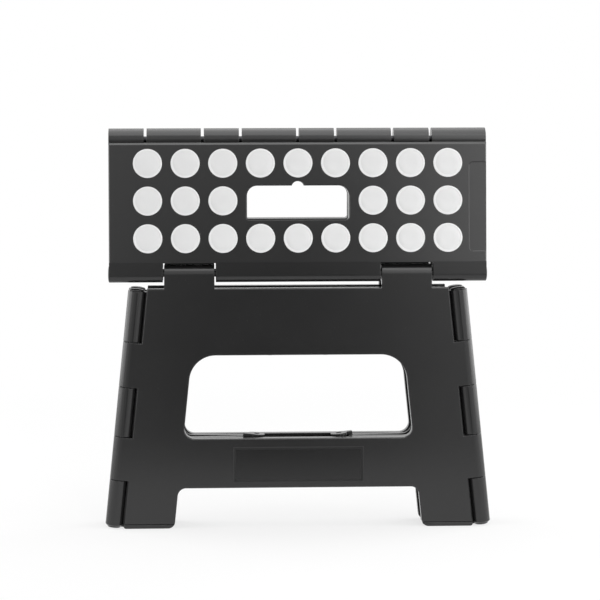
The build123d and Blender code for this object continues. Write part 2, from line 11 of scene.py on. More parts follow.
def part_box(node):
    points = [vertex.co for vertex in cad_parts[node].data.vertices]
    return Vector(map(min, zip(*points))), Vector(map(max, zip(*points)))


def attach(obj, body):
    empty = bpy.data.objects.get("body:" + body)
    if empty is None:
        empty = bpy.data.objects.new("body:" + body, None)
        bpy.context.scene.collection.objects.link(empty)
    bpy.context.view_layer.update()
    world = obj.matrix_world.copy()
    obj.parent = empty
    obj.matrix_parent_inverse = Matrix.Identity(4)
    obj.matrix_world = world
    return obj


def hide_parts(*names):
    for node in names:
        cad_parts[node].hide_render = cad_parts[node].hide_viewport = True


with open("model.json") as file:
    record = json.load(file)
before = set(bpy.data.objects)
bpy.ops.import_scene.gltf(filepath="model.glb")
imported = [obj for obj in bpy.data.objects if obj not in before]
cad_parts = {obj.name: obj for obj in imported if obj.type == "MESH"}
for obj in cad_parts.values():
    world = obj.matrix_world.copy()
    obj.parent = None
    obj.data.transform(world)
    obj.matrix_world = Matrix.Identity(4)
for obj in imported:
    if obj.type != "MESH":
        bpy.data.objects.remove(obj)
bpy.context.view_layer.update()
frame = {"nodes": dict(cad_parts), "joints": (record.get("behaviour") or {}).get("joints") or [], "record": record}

bl_info = {
    "name": "Folding Step Stool",
    "version": (1, 0, 0),
    "blender": (4, 5, 0),
    "location": "View3D > Sidebar > Step Stool",
    "description": "Dresses a folding step stool in plastic, grip pads and pins, in a studio",
    "category": "Object",
}

MM = 0.001
# Width, height and middle height of the bare recess in a panel's lower bar.
RECESS = (107.0 * MM, 27.8 * MM, 53.3 * MM)
# Columns and rows of the grip pads on a tread leaf.
PAD_COLUMNS, PAD_ROWS = 9, 3
# Facets round a grip pad, a hinge pin and a heel button.
PAD_FACETS, PIN_FACETS, BUTTON_FACETS = 56, 40, 48
# A CAD point this close to a face or an end is on it.
NEAR = 0.01 * MM
# Faces that meet more sharply than this keep a hard edge.
HARD_EDGE = math.radians(40)
WHITE = (1.0, 1.0, 1.0, 1.0)

PANELS = ("front_panel", "rear_panel")
LEAVES = (
    "top_front_leaf",
    "top_rear_leaf",
    "left_side_front_leaf",
    "left_side_rear_leaf",
    "right_side_front_leaf",
    "right_side_rear_leaf",
)
SIDE_FEET = (
    "left_side_front_foot",
    "left_side_rear_foot",
    "right_side_front_foot",
    "right_side_rear_foot",
)
# Pin node, the joint on whose line it lies, -1 where that is mirrored to the rear, and its slot.
PINS = (
    ("front_left_corner_pin", "left_corner_fold", 1, "pin_plastic"),
    ("front_right_corner_pin", "right_corner_fold", 1, "pin_plastic"),
    ("rear_left_corner_pin", "left_corner_fold", -1, "pin_plastic"),
    ("rear_right_corner_pin", "right_corner_fold", -1, "pin_plastic"),
    ("front_top_hinge_pins", "fold", 1, "pin_plastic"),
    ("rear_top_hinge_pins", "fold", -1, "pin_plastic"),
    ("left_mid_hinge_pins", "left_side_fold", 1, "pin_plastic"),
    ("right_mid_hinge_pins", "right_side_fold", 1, "pin_plastic"),
    ("centre_hinge_pin", "tread_fold", 1, "pin_steel"),
)
joints = {joint["name"]: joint for joint in frame["joints"]}
bodies_of_nodes = {
    node: body for body, nodes in frame["record"]["behaviour"]["bodies"].items() for node in nodes
}


# Settings that a user would change


class PlasticSettings(bpy.types.PropertyGroup):
    """Colour and surface of the black mouldings."""

    colour: bpy.props.FloatVectorProperty(
        name="Colour",
        description="Colour of the black plastic",
        subtype="COLOR",
        default=(0.0168, 0.0168, 0.0170),
        min=0,
        max=1,
    )
    worn_colour: bpy.props.FloatVectorProperty(
        name="Worn colour",
        description="Colour of the plastic where its edges are rubbed",
        subtype="COLOR",
        default=(0.045, 0.045, 0.046),
        min=0,
        max=1,
    )
    roughness: bpy.props.FloatProperty(
        name="Roughness",
        description="Roughness of the satin mould texture",
        default=0.225,
        min=0,
        max=1,
    )
    grain: bpy.props.FloatProperty(
        name="Grain size",
        description="Width of one grain of the mould texture",
        subtype="DISTANCE",
        default=0.45 * MM,
        min=0.05 * MM,
    )
    edge: bpy.props.FloatProperty(
        name="Edge radius",
        description="Softness of the moulded edges",
        subtype="DISTANCE",
        default=0.7 * MM,
        min=0,
    )


class GripPadSettings(bpy.types.PropertyGroup):
    """Shape and colour of the round grip pads."""

    colour: bpy.props.FloatVectorProperty(
        name="Colour",
        description="Colour of the grip pads",
        subtype="COLOR",
        default=(0.86, 0.86, 0.86),
        min=0,
        max=1,
    )
    rim: bpy.props.FloatProperty(
        name="Rim radius",
        description="Rounding of a pad's edge",
        subtype="DISTANCE",
        default=0.55 * MM,
        min=0,
    )
    ring: bpy.props.FloatProperty(
        name="Ring inset",
        description="Distance of the moulded ring from a pad's edge",
        subtype="DISTANCE",
        default=1.9 * MM,
        min=0,
    )
    ring_depth: bpy.props.FloatProperty(
        name="Ring depth",
        description="Depth of the shallow groove that makes the ring",
        subtype="DISTANCE",
        default=0.06 * MM,
        min=0,
    )


class FootSettings(bpy.types.PropertyGroup):
    """Shape of the panels' foot strips and of the buttons under the corner hinges."""

    corner: bpy.props.FloatProperty(
        name="Corner radius",
        description="Rounding of a strip's lower corner beside the hinge",
        subtype="DISTANCE",
        default=2.2 * MM,
        min=0.1 * MM,
    )
    button: bpy.props.FloatProperty(
        name="Button radius",
        description="Radius of the rubber button under each corner hinge",
        subtype="DISTANCE",
        default=5.4 * MM,
        min=1 * MM,
    )
    rim: bpy.props.FloatProperty(
        name="Rim radius",
        description="Rounding of the edge round a strip's face",
        subtype="DISTANCE",
        default=0.5 * MM,
        min=0.05 * MM,
    )


class PinSettings(bpy.types.PropertyGroup):
    """Shape and colour of the hinge pins."""

    cap: bpy.props.FloatProperty(
        name="Cap radius",
        description="Radius of the low pin heads that cap the corner hinges",
        subtype="DISTANCE",
        default=6.2 * MM,
        min=1 * MM,
    )
    cap_share: bpy.props.FloatProperty(
        name="Cap height",
        description="Height of the corner hinges' caps, as a share of the CAD heads'",
        subtype="FACTOR",
        default=0.75,
        min=0.1,
        max=1,
    )
    rim: bpy.props.FloatProperty(
        name="Rim share",
        description="Share of a pin head's height that is upright before its dome starts",
        subtype="FACTOR",
        default=0.3,
        min=0,
        max=1,
    )
    end: bpy.props.FloatProperty(
        name="End rounding",
        description="Rounding of a pin's plain ends",
        subtype="DISTANCE",
        default=0.6 * MM,
        min=0,
    )
    steel: bpy.props.FloatVectorProperty(
        name="Steel colour",
        description="Colour of the blackened rod in the centre hinge",
        subtype="COLOR",
        default=(0.050, 0.050, 0.053),
        min=0,
        max=1,
    )


class StudioSettings(bpy.types.PropertyGroup):
    """Camera, lamps and floor."""

    distance: bpy.props.FloatProperty(
        name="Camera distance",
        description="Distance of the camera in front of the panel's face",
        subtype="DISTANCE",
        default=1.74,
        min=0.3,
    )
    height: bpy.props.FloatProperty(
        name="Camera height",
        description="Height of the camera over the floor",
        subtype="DISTANCE",
        default=0.365,
    )
    offset: bpy.props.FloatProperty(
        name="Camera offset",
        description="How far the camera stands to the right",
        subtype="DISTANCE",
        default=-0.080,
    )
    view_width: bpy.props.FloatProperty(
        name="View width",
        description="Width of the view at the panel's face",
        subtype="DISTANCE",
        default=0.49819,
        min=0.1,
    )
    roll: bpy.props.FloatProperty(
        name="Camera roll",
        description="Turn of the camera about its line of sight",
        subtype="ANGLE",
        default=math.radians(0.1314),
    )
    floor_colour: bpy.props.FloatVectorProperty(
        name="Floor colour",
        description="Colour of the floor",
        subtype="COLOR",
        default=(0.93, 0.93, 0.93),
        min=0,
        max=1,
    )
    fill: bpy.props.FloatProperty(
        name="Fill light",
        description="Strength of the even light from all round",
        default=0.47,
        min=0,
    )


# Shader expressions


class Value:
    """An output socket of a shader tree, so that maths on it is written as an expression."""

    def __init__(self, tree, socket):
        self.tree = tree
        self.socket = socket

    def maths(self, operation, first, second=0.0):
        return self.tree.node("ShaderNodeMath", {"operation": operation}, {0: first, 1: second})

    def __add__(self, other):
        return self.maths("ADD", self, other)

    def __radd__(self, other):
        return self.maths("ADD", other, self)

    def __sub__(self, other):
        return self.maths("SUBTRACT", self, other)

    def __rsub__(self, other):
        return self.maths("SUBTRACT", other, self)

    def __mul__(self, other):
        return self.maths("MULTIPLY", self, other)

    def __rmul__(self, other):
        return self.maths("MULTIPLY", other, self)

    def size(self):
        """The number without its sign."""
        return self.maths("ABSOLUTE", self)

    def greater(self, other):
        """The greater of two numbers."""
        return self.maths("MAXIMUM", self, other)

    def clamped(self):
        """The number kept between 0 and 1."""
        return self.maths("MAXIMUM", self.maths("MINIMUM", self, 1.0), 0.0)

    def step(self, low, high):
        """Smooth rise from 0 at low to 1 at high."""
        return self.tree.node(
            "ShaderNodeMapRange",
            {"interpolation_type": "SMOOTHSTEP"},
            {"Value": self, "From Min": low, "From Max": high},
        )

    def part(self, axis):
        """One of the numbers X, Y and Z of a vector."""
        return self.tree.node("ShaderNodeSeparateXYZ", None, {0: self}, axis)


class Tree:
    """A node tree, filled by one method."""

    def __init__(self, node_tree):
        self.node_tree = node_tree
        node_tree.nodes.clear()

    def node(self, kind, settings=None, inputs=None, output=0):
        """A new node with its settings and its sockets' values or links, as one of its outputs."""
        made = self.node_tree.nodes.new(kind)
        for name, value in (settings or {}).items():
            setattr(made, name, value)
        for name, value in (inputs or {}).items():
            if isinstance(value, Value):
                self.node_tree.links.new(value.socket, made.inputs[name])
            else:
                made.inputs[name].default_value = value
        return Value(self, made.outputs[output] if len(made.outputs) else None)

    def mixed(self, share, first, second):
        """Colour between first and second."""
        settings = {"data_type": "RGBA"}
        return self.node("ShaderNodeMix", settings, {0: share, 6: first, 7: second}, 2)

    def noise(self, place, scale, detail):
        """Noise between 0 and 1, with this many features to a metre."""
        inputs = {"Vector": place, "Scale": scale, "Detail": detail}
        return self.node("ShaderNodeTexNoise", None, inputs)

    def streaks(self, place, scales, detail):
        """Noise with its own scale along each axis."""
        stretched = self.node("ShaderNodeMapping", None, {"Vector": place, "Scale": scales})
        return self.noise(stretched, 1.0, detail)

    def place(self):
        """Object coordinates, in metres."""
        return self.node("ShaderNodeTexCoord", output="Object")

    def bump(self, height, strength, distance, normal=None):
        """Normal that leans as if the surface had this height."""
        inputs = {"Strength": strength, "Distance": distance, "Height": height}
        if normal is not None:
            inputs["Normal"] = normal
        return self.node("ShaderNodeBump", None, inputs)

    def ray(self, kind):
        """1 for rays of a kind, such as Camera, and otherwise 0."""
        return self.node("ShaderNodeLightPath", output=f"Is {kind} Ray")

    def glow(self, colour):
        """Light of a colour at strength 1."""
        return self.node("ShaderNodeEmission", None, {"Color": colour, "Strength": 1.0})

    def close(self, shader, kind="Material"):
        """Ends the tree in its output."""
        self.node(f"ShaderNodeOutput{kind}", None, {"Surface": shader})


def opaque(colour, share=1.0):
    """A share of a colour, with full alpha."""
    return (*(part * share for part in colour), 1.0)


def new_finish(name):
    """An empty material and its tree."""
    finish = bpy.data.materials.new(name)
    finish.use_nodes = True
    return finish, Tree(finish.node_tree)


def recess_distance(place):
    """Distance outside the edge of a panel's recess, negative inside it."""
    width, height, middle = RECESS
    aside = place.part("X").size() - width / 2
    above = (place.part("Z") - middle).size() - height / 2
    return aside.greater(above)


def moulded_plastic(name, settings, polish=0.0, recessed=False):
    """Satin black plastic: fine mould grain, faint flow marks, rubbed edges and a little dust.

    A recessed panel has painted shade that darkens the field of its recess, and a dull edge round it. Edges are
    found where the normal of the softened surface leans away from that of the surface itself."""
    finish, tree = new_finish(name)
    place = tree.place()
    grain = tree.noise(place, 1 / settings.grain, 1.0)
    flow = tree.streaks(place, (6, 6, 22), 3.0)
    cloud = tree.noise(place, 34.0, 4.0)
    specks = tree.noise(place, 900.0, 1.0).step(0.70, 0.80)
    dust = specks * cloud.step(0.45, 0.75)
    dust_colour = opaque((0.30, 0.30, 0.30))
    soft = tree.node("ShaderNodeBevel", {"samples": 6}, {"Radius": settings.edge})
    straight = tree.node("ShaderNodeNewGeometry", output="Normal")
    dot = {"operation": "DOT_PRODUCT"}
    same = tree.node("ShaderNodeVectorMath", dot, {0: soft, 1: straight}, "Value")
    rubbed = (1.0 - same).step(0.02, 0.30) * (0.35 + 0.65 * cloud.step(0.35, 0.65))
    colour = tree.mixed(rubbed * 0.55, opaque(settings.colour), opaque(settings.worn_colour))
    colour = tree.mixed(dust * 0.10, colour, dust_colour)
    roughness = settings.roughness - polish + 0.05 * (cloud - 0.5) + 0.05 * (flow - 0.5)
    if recessed:
        distance = recess_distance(place)
        # Painted shade: the field of the recess is drawn in a darker colour than the rest of the panel.
        painted_recess_shade = distance.step(0.9 * MM, 0.3 * MM)
        dull_edge = distance.size().step(1.3 * MM, 0.7 * MM)
        colour = tree.mixed(painted_recess_shade, colour, opaque(settings.colour, 0.5))
        roughness = roughness + 0.5 * dull_edge
    shader = tree.node(
        "ShaderNodeBsdfPrincipled",
        None,
        {
            "Base Color": colour,
            "Roughness": roughness,
            "Specular IOR Level": 0.5,
            "Normal": tree.bump(grain * 0.25 + flow * 1.6, 0.25, 0.08 * MM, soft),
        },
    )
    tree.close(shader)
    return finish


def pad_rubber(name, settings):
    """Matt white rubber with a fine speckle, and a little painted shade inside each pad's rim, so that the rim
    reads as a painted highlight.
    """
    finish, tree = new_finish(name)
    place = tree.place()
    grain = tree.noise(place, 2400.0, 1.0)
    cloud = tree.noise(place, 60.0, 3.0)
    radius = tree.node("ShaderNodeAttribute", {"attribute_name": "radius"}, output="Fac")
    # Painted shade: each pad's middle is drawn darker than its rim, which makes a painted highlight on the rim.
    painted_centre_shade = radius.step(0.89, 0.85) * (0.7 + 0.3 * cloud.step(0.35, 0.75))
    plain_colour, painted_shade_colour = opaque(settings.colour), opaque(settings.colour, 0.90)
    shader = tree.node(
        "ShaderNodeBsdfPrincipled",
        None,
        {
            "Base Color": tree.mixed(painted_centre_shade, plain_colour, painted_shade_colour),
            "Roughness": 0.55 + 0.08 * (cloud - 0.5),
            "Specular IOR Level": 0.35,
            "Normal": tree.bump(grain, 0.2, 0.05 * MM),
        },
    )
    tree.close(shader)
    return finish


def foot_rubber(name, settings):
    """Matt black rubber, paler where it is scuffed."""
    finish, tree = new_finish(name)
    place = tree.place()
    cloud = tree.noise(place, 120.0, 3.0)
    grain = tree.noise(place, 1600.0, 2.0)
    scuffed = cloud.step(0.45, 0.8) * 0.5
    plain_colour, worn = opaque(settings.colour), opaque(settings.colour, 1.9)
    shader = tree.node(
        "ShaderNodeBsdfPrincipled",
        None,
        {
            "Base Color": tree.mixed(scuffed, plain_colour, worn),
            "Roughness": 0.36 + 0.1 * (cloud - 0.5),
            "Specular IOR Level": 0.5,
            "Normal": tree.bump(grain, 0.2, 0.06 * MM),
        },
    )
    tree.close(shader)
    return finish


def blackened_steel(name, settings):
    """Dark drawn rod with fine lines along it."""
    finish, tree = new_finish(name)
    drawn = tree.streaks(tree.place(), (40, 2600, 2600), 2.0)
    dark, pale = opaque(settings.steel), opaque(settings.steel, 1.6)
    shader = tree.node(
        "ShaderNodeBsdfPrincipled",
        None,
        {
            "Base Color": tree.mixed(drawn, dark, pale),
            "Metallic": 1.0,
            "Roughness": 0.42 + 0.1 * (drawn - 0.5),
            "Normal": tree.bump(drawn, 0.2, 0.03 * MM),
        },
    )
    tree.close(shader)
    return finish


# Surfaces, each as arrays of points, quads and triangles


def skinned(flat, heights, middle):
    """Closed surface over rings of points (x, y), each at its own height along local z.

    Quads join every ring to the next, and a fan closes either end round a pole over the middle."""
    rings, count = flat.shape[:2]
    level = np.broadcast_to(heights[:, None, None], (rings, count, 1))
    poles = [(*middle, heights[0]), (*middle, heights[-1])]
    points = np.vstack([np.concatenate([flat, level], axis=-1).reshape(-1, 3), poles])
    here = np.arange(count)
    after = (here + 1) % count
    lower = np.arange(rings - 1)[:, None] * count
    upper = lower + count
    quads = np.stack([lower + here, lower + after, upper + after, upper + here], axis=-1)
    first, last = np.full(count, len(points) - 2), np.full(count, len(points) - 1)
    top = (rings - 1) * count
    first_fan = np.stack([first, after, here], axis=-1)
    last_fan = np.stack([last, top + here, top + after], axis=-1)
    return points, quads.reshape(-1, 4), np.vstack([first_fan, last_fan])


def turned(profile, facets):
    """Solid of revolution about local z, over a profile of rows (radius, height), with flat ends.

    A point is (r cos a, r sin a, h) for every profile row and every angle a."""
    angle = np.linspace(0, 2 * math.pi, facets, endpoint=False)
    circle = np.stack([np.cos(angle), np.sin(angle)], axis=-1)
    return skinned(profile[:, :1, None] * circle, profile[:, 1], (0, 0))


def plate(outline, low, high, rim):
    """Plate over an outline that runs counterclockwise, with the edge round its upper face rounded.

    Ring by ring, the outline is drawn in along its normals by rim (1 - cos a), at the height
    high - rim (1 - sin a), where a goes from 0 to a quarter turn."""
    along = np.roll(outline, -1, axis=0) - np.roll(outline, 1, axis=0)
    along = along / np.linalg.norm(along, axis=1, keepdims=True)
    normal = np.stack([along[:, 1], -along[:, 0]], axis=-1)
    angle = np.linspace(0, math.pi / 2, 6)
    inset = np.concatenate([[0.0], rim * (1 - np.cos(angle))])
    heights = np.concatenate([[low], high - rim * (1 - np.sin(angle))])
    return skinned(outline - inset[:, None, None] * normal, heights, outline.mean(axis=0))


def arc(centre, radius, start, end, steps):
    """Points (radius, height) on an arc of a profile, angles in degrees from the radius axis.

    radius is one number, or the two half axes of an ellipse."""
    angle = np.radians(np.linspace(start, end, steps))
    return np.asarray(centre) + np.stack([np.cos(angle), np.sin(angle)], axis=-1) * radius


def placed(surface, origin, across, up, out):
    """The surface with its x, y and z laid on the axes across, up and out, from origin."""
    points, quads, triangles = surface
    return np.asarray(origin) + points @ np.array([across, up, out]), quads, triangles


def laid_along(surface, origin, out):
    """The surface with its z laid along a direction, and x and y square to it, from origin."""
    up = np.array(Vector(out).orthogonal().normalized())
    return placed(surface, origin, np.cross(up, out), up, out)


def repeated(surface, shifts):
    """The same surface at every shift."""
    points, quads, triangles = surface
    start = np.arange(len(shifts))[:, None, None] * len(points)
    return (
        (points + shifts[:, None]).reshape(-1, 3),
        (quads + start).reshape(-1, 4),
        (triangles + start).reshape(-1, 3),
    )


def joined(surfaces):
    """Several surfaces as one."""
    starts = np.cumsum([0, *(len(points) for points, _, _ in surfaces)])
    return (
        np.vstack([points for points, _, _ in surfaces]),
        np.vstack([quads + start for (_, quads, _), start in zip(surfaces, starts)]),
        np.vstack([triangles + start for (_, _, triangles), start in zip(surfaces, starts)]),
    )


def new_piece(name, surface, finish, body):
    """A smooth mesh that rides on a body and takes its finish from a slot."""
    points, quads, triangles = surface
    mesh = bpy.data.meshes.new(name)
    mesh.from_pydata(points.tolist(), [], quads.tolist() + triangles.tolist())
    mesh.polygons.foreach_set("use_smooth", np.ones(len(mesh.polygons), bool))
    mesh.set_sharp_from_angle(angle=HARD_EDGE)
    mesh.validate()
    mesh.materials.append(finish)
    piece = bpy.data.objects.new(name, mesh)
    bpy.context.scene.collection.objects.link(piece)
    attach(piece, body)
    return piece


def stand_in(name, surface, finish, node):
    """A piece that stands for a CAD node and rides on its body."""
    piece = new_piece(name, surface, finish, bodies_of_nodes[node])
    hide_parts(node)
    return piece


def node_points(node):
    """The points of a CAD node's mesh."""
    mesh = frame["nodes"][node].data
    points = np.empty(len(mesh.vertices) * 3, np.float32)
    mesh.vertices.foreach_get("co", points)
    return points.reshape(-1, 3).astype(float)


def dress(node, finish):
    """Gives a CAD node its finish."""
    slots = frame["nodes"][node].data.materials
    slots.clear()
    slots.append(finish)


# Places taken from the frame


def leaf_axes(row):
    """Across, up and out of a tread leaf's face, for the front (-1) or the rear (1).

    The tread is level at the end of the fold, so at rest it leans by the rest of a quarter turn."""
    lean = math.radians(90 - joints["fold"]["range_deg"][1])
    across = np.array([-row, 0, 0])
    up = np.array([0, -row * math.sin(lean), math.cos(lean)])
    out = np.array([0, row * math.cos(lean), math.sin(lean)])
    return across, up, out


def pad_places(node, row):
    """Radius, base, height and centres of the pads, measured on the CAD pads in the leaf's axes.

    Rows and columns share one pitch, and a place without a CAD pad near it stays empty."""
    across, up, out = leaf_axes(row)
    points = node_points(node)
    flat = np.stack([points @ across, points @ up], axis=-1)
    depth = points @ out
    low = flat.min(0)
    width, height = flat.max(0) - low
    pitch = (width - height) / (PAD_COLUMNS - PAD_ROWS)
    radius = (height - (PAD_ROWS - 1) * pitch) / 2
    column, row_number = np.meshgrid(np.arange(PAD_COLUMNS), np.arange(PAD_ROWS))
    centres = low + radius + pitch * np.stack([column.ravel(), row_number.ravel()], axis=-1)
    away = np.linalg.norm(flat[None] - centres[:, None], axis=-1).min(1)
    return radius, depth.min(), depth.max() - depth.min(), centres[away < 1.2 * radius]


def strip_outlines(node, settings):
    """Outlines of a panel's foot strip and its tongue, each with its two depths.

    They are seen from outside, with the outer end on the left, and measured on the CAD strip. The
    inner lower corner is an arc whose radius follows from its chord, (width squared + height
    squared) divided by twice the height, and the outer one is a quarter circle."""
    points = node_points(node)
    across, depth, height = np.abs(points[:, 0]), np.abs(points[:, 1]), points[:, 2]
    face = depth > depth.max() - NEAR
    sole = height < NEAR
    top = height[face].max()
    bottom_edge = across[face & sole]
    top_edge = across[face & (height > top - NEAR)]
    radius = ((bottom_edge.min() - top_edge.min()) ** 2 + top**2) / (2 * top)
    arc_end = math.degrees(math.asin(top / radius - 1))
    corner = settings.corner
    strip = np.vstack(
        [
            (-top_edge.max(), top),
            arc((corner - bottom_edge.max(), corner), corner, 180, 270, 7),
            arc((-bottom_edge.min(), radius), radius, -90, arc_end, 10),
        ]
    )
    strip_depths = depth[face | sole].min(), depth.max()
    tongue = height > top + NEAR
    inner, outer, rise = across[tongue].min(), across[tongue].max(), height.max()
    peg = np.array([(-outer, rise), (-outer, top / 2), (-inner, top / 2), (-inner, rise)])
    peg_depths = depth[tongue].min(), depth[tongue].max()
    return (strip, strip_depths), (peg, peg_depths)


def hinge_line(joint, mirrored):
    """A point on a joint's line and its direction, mirrored to the other half where that is -1."""
    flip = np.array([1, mirrored, 1])
    return np.array(joints[joint]["pos_m"]) * flip, np.array(joints[joint]["axis"]) * flip


def line_places(points, origin, direction):
    """Where points are along a line, and how far away from it."""
    away = points - origin
    along = away @ direction
    return along, np.linalg.norm(away - along[:, None] * direction, axis=1)


def heel_button(half, hand, mirrored, settings):
    """Round button under the lowest barrel of a corner hinge, with a peg up into its bore.

    Its lower end is a disc of radius r on a line that leans by a, so its lowest point is r sin a
    under the disc's middle, and that point stays clear of the floor by a small fit."""
    origin, direction = hinge_line(f"{hand}_corner_fold", mirrored)
    direction = direction * math.copysign(1, direction[2])
    along, radii = line_places(node_points(f"{hand}_side_{half}_leaf"), origin, direction)
    barrel = radii < settings.button
    seat = along[barrel].min()
    bore = radii[barrel & (along < seat + NEAR)].min()
    pin_end = line_places(node_points(f"{half}_{hand}_corner_pin"), origin, direction)[0].min()
    fit, rim = 0.15 * MM, 0.4 * MM
    radius, peg, top = settings.button, bore - fit, pin_end - fit
    low = (fit + radius * math.sqrt(1 - direction[2] ** 2)) / direction[2]
    edge = arc((radius - rim, low + rim), rim, -90, 0, 5)
    profile = np.vstack([edge, (radius, seat), (peg, seat), (peg, top)])
    return laid_along(turned(profile, BUTTON_FACETS), origin, direction)


def pin_sizes(node, joint, mirrored):
    """Each CAD pin's two ends along its line, its radii there, and where its head's shoulder is.

    A node with two pins is split at the widest stretch without points. The plain end comes first,
    and the shoulder of a pin without a head is at its other end."""
    end_reach, least_head = 4 * MM, 0.1 * MM
    along, radius = line_places(node_points(node), *hinge_line(joint, mirrored))
    groups = [np.ones(len(along), bool)]
    if node.endswith("pins"):
        stops = np.sort(along)
        gap = np.argmax(np.diff(stops))
        middle = (stops[gap] + stops[gap + 1]) / 2
        groups = [along < middle, along > middle]
    found = []
    for group in groups:
        places, radii = along[group], radius[group]
        ends = np.array([places.min(), places.max()])
        widths = [radii[np.abs(places - end) < end_reach].max() for end in ends]
        if widths[0] > widths[1]:
            ends, widths = ends[::-1], widths[::-1]
        shoulder = abs(ends[1] - ends[0])
        if widths[1] > widths[0] + least_head:
            head = radii > sum(widths) / 2
            shoulder = np.abs(places[head] - ends[0]).min()
        found.append((ends, widths, shoulder))
    return found


def pin_profile(length, shoulder, radius, head_radius, settings):
    """Plain end rounded by a quarter circle, shaft, and a head with an upright rim under a dome.

    The dome is an ellipse, (head radius times cos a, dome height times sin a), and ends in a small
    flat a little short of the pin's length."""
    dome_end = 84
    end = min(settings.end, radius)
    rows = [arc((radius - end, end), end, -90, 0, 5)]
    if shoulder < length:
        rim = shoulder + settings.rim * (length - shoulder)
        rows += [(radius, shoulder), (head_radius, shoulder)]
        rows += [arc((0, rim), (head_radius, length - rim), 0, dome_end, 9)]
    else:
        rows += [arc((radius - end, length - end), end, 0, 90, 5)]
    return np.vstack(rows)


# Operators


class STOOL_OT_mouldings(bpy.types.Operator):
    """Give the panels, tread leaves and side leaves their plastic"""

    bl_idname = "stool.mouldings"
    bl_label = "Mouldings"

    def execute(self, context):
        settings = context.scene.stool_plastic
        panel_plastic = moulded_plastic("panel_plastic", settings, recessed=True)
        leaf_plastic = moulded_plastic("leaf_plastic", settings)
        for node in PANELS:
            dress(node, panel_plastic)
        for node in LEAVES:
            dress(node, leaf_plastic)
        return {"FINISHED"}


class STOOL_OT_foot_strips(bpy.types.Operator):
    """Make the panels' foot strips and the heel buttons, and dress the side leaves' strips"""

    bl_idname = "stool.foot_strips"
    bl_label = "Foot strips"

    def execute(self, context):
        settings = context.scene.stool_feet
        rubber = foot_rubber("foot_rubber", context.scene.stool_plastic)
        for node in SIDE_FEET:
            dress(node, rubber)
        for half, row in (("front", -1), ("rear", 1)):
            node = f"{half}_panel_feet"
            strips = []
            for outline, (low, high) in strip_outlines(node, settings):
                for each in (outline, outline[::-1] * (-1, 1)):
                    strips.append(plate(each, low, high, settings.rim))
            axes = (-row, 0, 0), (0, 0, 1), (0, row, 0)
            feet = placed(joined(strips), (0, 0, 0), *axes)
            stand_in(f"{half}_foot_strips", feet, rubber, node)
            for hand in ("left", "right"):
                button = heel_button(half, hand, -row, settings)
                body = f"{hand}_{half}_body"
                new_piece(f"{half}_{hand}_heel", button, rubber, body)
        return {"FINISHED"}


class STOOL_OT_grip_pads(bpy.types.Operator):
    """Make the round grip pads of both tread leaves"""

    bl_idname = "stool.grip_pads"
    bl_label = "Grip pads"

    def execute(self, context):
        settings = context.scene.stool_pads
        rubber = pad_rubber("pad_rubber", settings)
        for half, row in (("front", -1), ("rear", 1)):
            node = f"top_{half}_grip_dots"
            radius, base, height, centres = pad_places(node, row)
            rim = min(settings.rim, height)
            groove = radius - settings.ring
            half_width = 3 * settings.ring_depth
            profile = np.vstack(
                [
                    (radius, 0),
                    arc((radius - rim, height - rim), rim, 0, 90, 7),
                    (groove + half_width, height),
                    (groove + half_width / 3, height - settings.ring_depth),
                    (groove - half_width / 3, height - settings.ring_depth),
                    (groove - half_width, height),
                    (groove / 2, height),
                ]
            )
            shifts = np.column_stack([centres, np.full(len(centres), base)])
            pad = turned(profile, PAD_FACETS)
            pads = placed(repeated(pad, shifts), (0, 0, 0), *leaf_axes(row))
            piece = stand_in(f"{half}_grip_pads", pads, rubber, node)
            share = np.linalg.norm(pad[0][:, :2], axis=1) / radius
            attribute = piece.data.attributes.new("radius", "FLOAT", "POINT")
            attribute.data.foreach_set("value", np.tile(share, len(centres)))
        return {"FINISHED"}


class STOOL_OT_hinge_pins(bpy.types.Operator):
    """Make the hinge pins with domed heads, and the rod in the centre hinge"""

    bl_idname = "stool.hinge_pins"
    bl_label = "Hinge pins"

    def execute(self, context):
        settings = context.scene.stool_pins
        finishes = {
            "pin_plastic": moulded_plastic("pin_plastic", context.scene.stool_plastic, polish=0.06),
            "pin_steel": blackened_steel("pin_steel", settings),
        }
        for node, joint, mirrored, slot in PINS:
            origin, direction = hinge_line(joint, mirrored)
            pins = []
            for (start, stop), (radius, head_radius), shoulder in pin_sizes(node, joint, mirrored):
                length = abs(stop - start)
                if joint.endswith("corner_fold"):
                    length = shoulder + settings.cap_share * (length - shoulder)
                    head_radius = settings.cap
                profile = pin_profile(length, shoulder, radius, head_radius, settings)
                place = origin + direction * start
                out = direction * math.copysign(1, stop - start)
                pins.append(laid_along(turned(profile, PIN_FACETS), place, out))
            stand_in(f"{node}_turned", joined(pins), finishes[slot], node)
        return {"FINISHED"}


